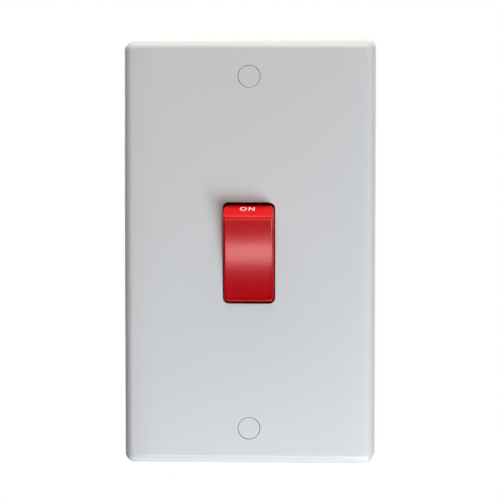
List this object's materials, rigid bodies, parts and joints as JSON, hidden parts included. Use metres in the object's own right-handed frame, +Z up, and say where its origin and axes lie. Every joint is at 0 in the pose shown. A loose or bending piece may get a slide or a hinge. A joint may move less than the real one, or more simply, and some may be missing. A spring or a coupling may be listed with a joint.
{
  "type": "wall switch",
  "caption": "Double-pole rocker switch for a high-current circuit, on a tall moulded wall plate, with its contact mechanism and terminals behind.",
  "frame": {"origin": "middle of the plate's back rim, on the wall's surface", "axes": "+X to the right and +Z up as the switch hangs; the front faces -Y, and +Y goes into the wall box"},
  "size_m": [0.086, 0.0354, 0.146],
  "materials": {
    "plate_white": "polished moulding",
    "cap_white": "satin moulding",
    "rocker_red": "glossy rim, fine matt panels",
    "inner_black": "plain moulding",
    "plated_steel": "bright zinc plate",
    "terminal_brass": "machined",
    "strip_brass": "stamped",
    "contact_copper": "stamped copper alloy",
    "silver_contact": "silver",
    "plunger_nylon": "natural nylon",
    "spring_steel": "drawn wire"
  },
  "bodies": {
    "housing": {"front_plate": "plate_white", "screw_cap_top": "cap_white", "screw_cap_bottom": "cap_white", "fixing_screw_top": "plated_steel", "fixing_screw_bottom": "plated_steel", "mechanism_base": "inner_black", "mechanism_screw_1": "plated_steel", "mechanism_screw_2": "plated_steel", "mechanism_screw_3": "plated_steel", "mechanism_screw_4": "plated_steel", "terminal_block_load_live": "terminal_brass", "terminal_screw_load_live": "plated_steel", "terminal_block_load_neutral": "terminal_brass", "terminal_screw_load_neutral": "plated_steel", "terminal_block_supply_live": "terminal_brass", "terminal_screw_supply_live": "plated_steel", "terminal_block_supply_neutral": "terminal_brass", "terminal_screw_supply_neutral": "plated_steel", "fixed_strip_live": "strip_brass", "fulcrum_strip_live": "strip_brass", "fixed_tip_live": "silver_contact", "fixed_strip_neutral": "strip_brass", "fulcrum_strip_neutral": "strip_brass", "fixed_tip_neutral": "silver_contact", "earth_terminal": "terminal_brass", "earth_screw_1": "plated_steel", "earth_screw_2": "plated_steel", "rocker_cradle": "inner_black"},
    "rocker": {"rocker": "rocker_red", "plunger_spring_live": "spring_steel", "plunger_spring_neutral": "spring_steel"},
    "plunger_live": {"plunger_live": "plunger_nylon"},
    "see_saw_live": {"contact_bar_live": "contact_copper", "moving_tip_live": "silver_contact"},
    "plunger_neutral": {"plunger_neutral": "plunger_nylon"},
    "see_saw_neutral": {"contact_bar_neutral": "contact_copper", "moving_tip_neutral": "silver_contact"}
  },
  "joints": [
    {"name": "rocker_pivot", "type": "hinge", "parent": "housing", "child": "rocker", "pos_m": [0, -0.00482, 0], "axis": [1, 0, 0], "range_deg": [-18, 0]},
    {"name": "see_saw_pivot_live", "type": "hinge", "parent": "housing", "child": "see_saw_live", "pos_m": [-0.0046, 0.00928, 0], "axis": [1, 0, 0], "range_deg": [0, 15]},
    {"name": "plunger_slide_live", "type": "slide", "parent": "rocker", "child": "plunger_live", "axis": [0, -0.9877, -0.1564], "range_m": [0, 0.0012], "stiffness_N_per_m": 500, "springref_m": -0.002, "deforming": ["plunger_spring_live"]},
    {"name": "see_saw_pivot_neutral", "type": "hinge", "parent": "housing", "child": "see_saw_neutral", "pos_m": [0.0046, 0.00928, 0], "axis": [1, 0, 0], "range_deg": [0, 15]},
    {"name": "plunger_slide_neutral", "type": "slide", "parent": "rocker", "child": "plunger_neutral", "axis": [0, -0.9877, -0.1564], "range_m": [0, 0.0012], "stiffness_N_per_m": 500, "springref_m": -0.002, "deforming": ["plunger_spring_neutral"]}
  ],
  "couplings": [
    {"joint": "see_saw_pivot_live", "follows": "rocker_pivot", "ratio": -0.83333},
    {"joint": "see_saw_pivot_neutral", "follows": "rocker_pivot", "ratio": -0.83333}
  ]
}
